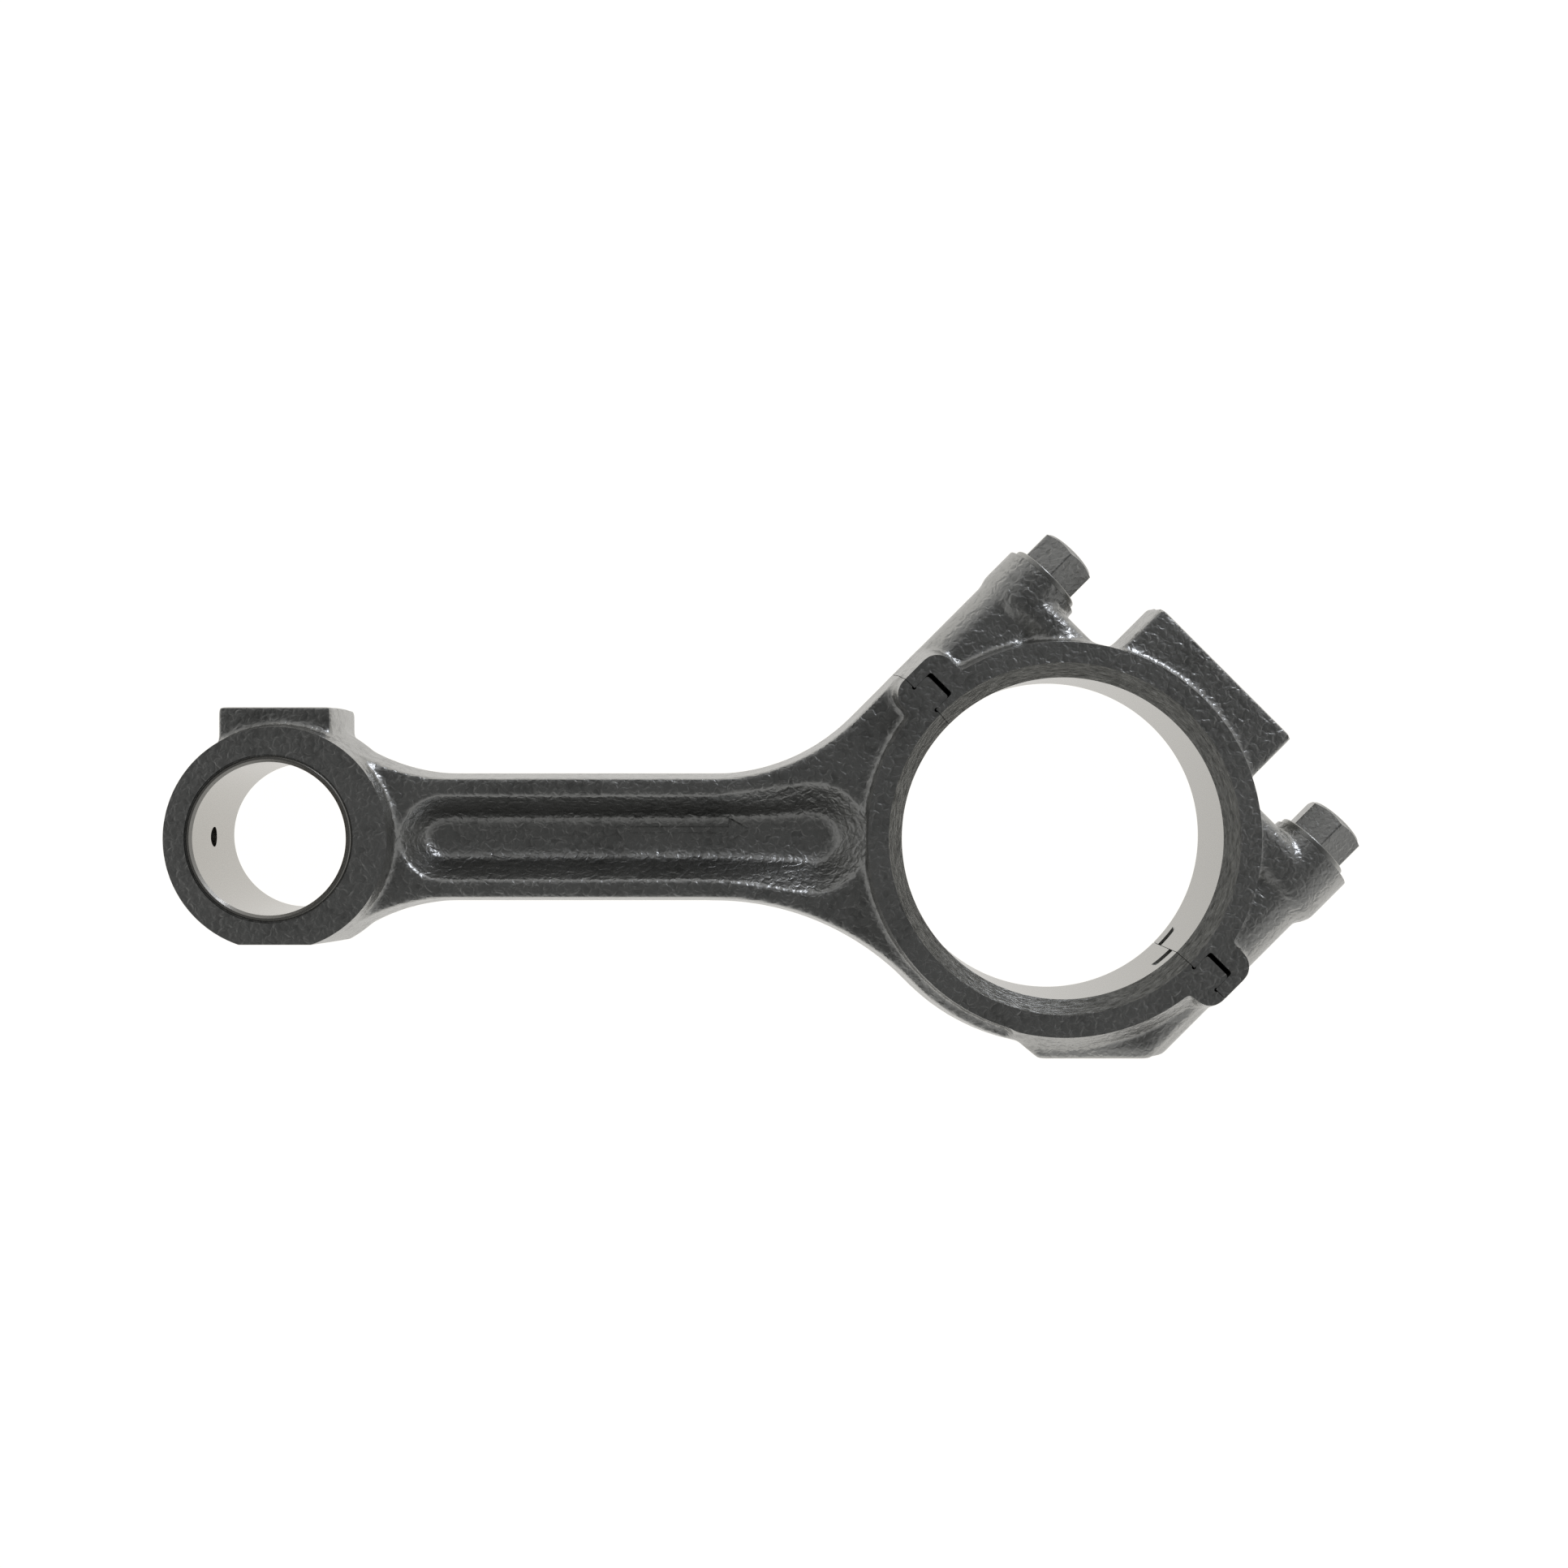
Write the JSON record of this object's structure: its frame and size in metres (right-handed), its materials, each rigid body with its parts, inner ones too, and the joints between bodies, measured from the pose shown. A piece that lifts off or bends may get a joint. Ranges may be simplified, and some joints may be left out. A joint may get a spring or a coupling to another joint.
{
  "type": "connecting rod",
  "caption": "Forged diesel engine connecting rod with an angle-split, tongue-located bolted cap and a bushed small end.",
  "frame": {"origin": "centre of the big end bore at the middle of its width", "axes": "+Z along the big end bore, +X away from the small end along the rod, +Y to the side of the upper cap bolt"},
  "size_m": [0.3122, 0.1374, 0.038],
  "materials": {
    "forged_steel": "shot-blasted steel forging with ground side faces and bored ends",
    "bolt_steel": "heat-treated alloy steel, oiled",
    "washer_steel": "hardened and ground steel",
    "bush_metal": "steel-backed bronze bush, bored in place"
  },
  "bodies": {
    "rod": {"rod_body": "forged_steel", "small_end_bush": "bush_metal"},
    "cap": {"big_end_cap": "forged_steel"},
    "upper_washer": {"washer_upper": "washer_steel"},
    "upper_bolt": {"cap_bolt_upper": "bolt_steel"},
    "lower_washer": {"washer_lower": "washer_steel"},
    "lower_bolt": {"cap_bolt_lower": "bolt_steel"}
  },
  "joints": [
    {"name": "cap_lift", "type": "slide", "parent": "rod", "child": "cap", "axis": [0.7071, 0.7071, 0], "range_m": [0, 0.07]},
    {"name": "upper_bolt_rise", "type": "slide", "parent": "cap", "child": "upper_washer", "axis": [0.7071, 0.7071, 0], "range_m": [0, 0.0254]},
    {"name": "upper_bolt_turn", "type": "hinge", "parent": "upper_washer", "child": "upper_bolt", "pos_m": [-0.00354, 0.06717, 0], "axis": [0.7071, 0.7071, 0], "range_deg": [0, 7200]},
    {"name": "lower_bolt_rise", "type": "slide", "parent": "cap", "child": "lower_washer", "axis": [0.7071, 0.7071, 0], "range_m": [0, 0.0254]},
    {"name": "lower_bolt_turn", "type": "hinge", "parent": "lower_washer", "child": "lower_bolt", "pos_m": [0.06717, -0.00354, 0], "axis": [0.7071, 0.7071, 0], "range_deg": [0, 7200]}
  ],
  "couplings": [
    {"joint": "upper_bolt_turn", "follows": "upper_bolt_rise", "rad_per_m": 4947.4},
    {"joint": "lower_bolt_turn", "follows": "lower_bolt_rise", "rad_per_m": 4947.4}
  ]
}
